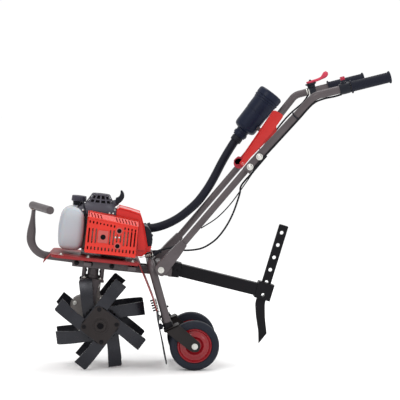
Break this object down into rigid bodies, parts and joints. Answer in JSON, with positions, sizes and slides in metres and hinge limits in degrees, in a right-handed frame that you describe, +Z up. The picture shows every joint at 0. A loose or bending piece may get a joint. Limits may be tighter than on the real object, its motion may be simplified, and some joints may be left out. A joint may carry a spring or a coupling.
{
  "type": "mini cultivator",
  "caption": "Petrol mini cultivator: engine on a red deck, tine rotor below, transport wheels, drag bar, twin-arm handlebar with remote air filter.",
  "frame": {"origin": "bottom centre of the bounding box, on the ground", "axes": "+X to the rear (handles), +Y to the operator's right, +Z up"},
  "size_m": [1.1602, 0.5776, 0.9725],
  "materials": {
    "frame_paint": "satin grey-brown powder coat",
    "red_paint": "gloss red paint on sheet steel",
    "black_paint": "satin black paint",
    "tine_paint": "dark paint on forged blades",
    "steel": "bright zinc-plated steel",
    "aluminium": "die-cast aluminium",
    "red_plastic": "gloss moulded engine cover",
    "black_plastic": "moulded black plastic",
    "grey_plastic": "dark grey moulded plastic",
    "tank_plastic": "translucent white blow-moulded plastic",
    "rubber": "black rubber",
    "tyre": "solid rubber tyre"
  },
  "bodies": {
    "frame": {"main_frame": "frame_paint", "front_handle": "frame_paint", "deck_guard": "red_paint", "rubber_flap": "rubber", "wheel_legs": "frame_paint", "drive_column": "frame_paint", "gearbox_case_left": "aluminium", "gearbox_case_right": "aluminium", "clutch_housing": "aluminium", "crankcase": "aluminium", "cylinder": "aluminium", "cylinder_cover": "red_plastic", "spark_plug_cap": "rubber", "muffler": "steel", "muffler_guard": "red_plastic", "carburettor": "aluminium", "intake_elbow": "rubber", "fuel_tank": "tank_plastic", "starter_housing": "grey_plastic", "starter_rope": "tank_plastic", "drag_arm": "black_paint", "air_hose": "rubber", "clutch_cable": "rubber", "throttle_cable": "rubber"},
    "crankshaft": {"crankshaft": "steel"},
    "drive_shaft": {"drive_shaft": "steel", "clutch_drum": "steel"},
    "tine_rotor": {"tine_axle": "steel", "worm_wheel": "steel", "tine_hub_left": "tine_paint", "tines_left_outer": "tine_paint", "tines_left_inner": "tine_paint", "tine_hub_right": "tine_paint", "tines_right_outer": "tine_paint", "tines_right_inner": "tine_paint"},
    "fuel_cap": {"fuel_cap": "grey_plastic"},
    "starter_reel": {"starter_reel": "black_plastic"},
    "starter_handle": {"starter_handle": "black_plastic"},
    "fork_left": {"wheel_fork_left": "frame_paint"},
    "fork_right": {"wheel_fork_right": "frame_paint"},
    "wheel_left": {"tyre_left": "tyre", "wheel_rim_left": "red_paint"},
    "wheel_right": {"tyre_right": "tyre", "wheel_rim_right": "red_paint"},
    "depth_bar": {"depth_bar": "black_paint"},
    "handlebar": {"handle_lower_left": "frame_paint", "handle_upper_left": "frame_paint", "handle_grip_left": "rubber", "handle_lower_right": "frame_paint", "handle_upper_right": "frame_paint", "handle_grip_right": "rubber", "switch_housing": "black_plastic", "throttle_base": "black_plastic", "air_filter_housing": "black_plastic", "air_filter_lid": "black_plastic", "air_filter_element": "tank_plastic"},
    "clutch_lever": {"clutch_lever": "red_paint"},
    "throttle_lever": {"throttle_lever": "red_plastic"},
    "stop_button": {"stop_button": "red_plastic"}
  },
  "joints": [
    {"name": "tine_spin", "type": "hinge", "parent": "frame", "child": "tine_rotor", "pos_m": [-0.34043, 0, 0.15004], "axis": [0, 1, 0], "continuous": true},
    {"name": "drive_shaft_spin", "type": "hinge", "parent": "frame", "child": "drive_shaft", "pos_m": [-0.38119, 0, 0.15447], "axis": [0.108, 0, 0.9942], "continuous": true},
    {"name": "crankshaft_spin", "type": "hinge", "parent": "frame", "child": "crankshaft", "pos_m": [-0.34879, 0, 0.45271], "axis": [0.108, 0, 0.9942], "continuous": true},
    {"name": "fuel_cap_turn", "type": "hinge", "parent": "frame", "child": "fuel_cap", "pos_m": [-0.4103, 0.04, 0.54389], "axis": [0.108, 0, 0.9942], "range_deg": [0, 180]},
    {"name": "starter_pull", "type": "slide", "parent": "frame", "child": "starter_handle", "axis": [0.9486, 0, 0.3164], "range_m": [0, 0.35], "stiffness_N_per_m": 20, "springref_m": -0.1, "deforming": ["starter_rope"]},
    {"name": "starter_reel_spin", "type": "hinge", "parent": "frame", "child": "starter_reel", "pos_m": [-0.34015, 0, 0.53224], "axis": [0.108, 0, 0.9942], "range_deg": [0, 690]},
    {"name": "fork_left_height", "type": "slide", "parent": "frame", "child": "fork_left", "axis": [0.2669, 0, -0.9637], "range_m": [0, 0.06]},
    {"name": "fork_right_height", "type": "slide", "parent": "frame", "child": "fork_right", "axis": [0.2669, 0, -0.9637], "range_m": [0, 0.06]},
    {"name": "wheel_left_spin", "type": "hinge", "parent": "fork_left", "child": "wheel_left", "pos_m": [-0.03443, -0.105, 0.081], "axis": [0, 1, 0], "continuous": true},
    {"name": "wheel_right_spin", "type": "hinge", "parent": "fork_right", "child": "wheel_right", "pos_m": [-0.03443, 0.105, 0.081], "axis": [0, 1, 0], "continuous": true},
    {"name": "depth_bar_height", "type": "slide", "parent": "frame", "child": "depth_bar", "axis": [-0.2924, 0, -0.9563], "range_m": [0, 0.172]},
    {"name": "handle_tilt", "type": "hinge", "parent": "frame", "child": "handlebar", "pos_m": [-0.14425, 0, 0.33363], "axis": [0, 1, 0], "range_deg": [-12, 12], "deforming": ["air_hose", "clutch_cable", "throttle_cable"]},
    {"name": "clutch_lever_swing", "type": "hinge", "parent": "handlebar", "child": "clutch_lever", "pos_m": [0.13948, 0.104, 0.66467], "axis": [0, 1, 0], "range_deg": [-25, 0]},
    {"name": "throttle_lever_swing", "type": "hinge", "parent": "handlebar", "child": "throttle_lever", "pos_m": [0.39576, 0.268, 0.90889], "axis": [-0.2402, 0, 0.9707], "range_deg": [-15, 60]},
    {"name": "stop_button_press", "type": "slide", "parent": "handlebar", "child": "stop_button", "axis": [0.2402, 0, -0.9707], "range_m": [0, 0.004], "stiffness_N_per_m": 300}
  ],
  "couplings": [
    {"joint": "drive_shaft_spin", "follows": "tine_spin", "ratio": 20},
    {"joint": "starter_reel_spin", "follows": "starter_pull", "rad_per_m": 33.333}
  ]
}
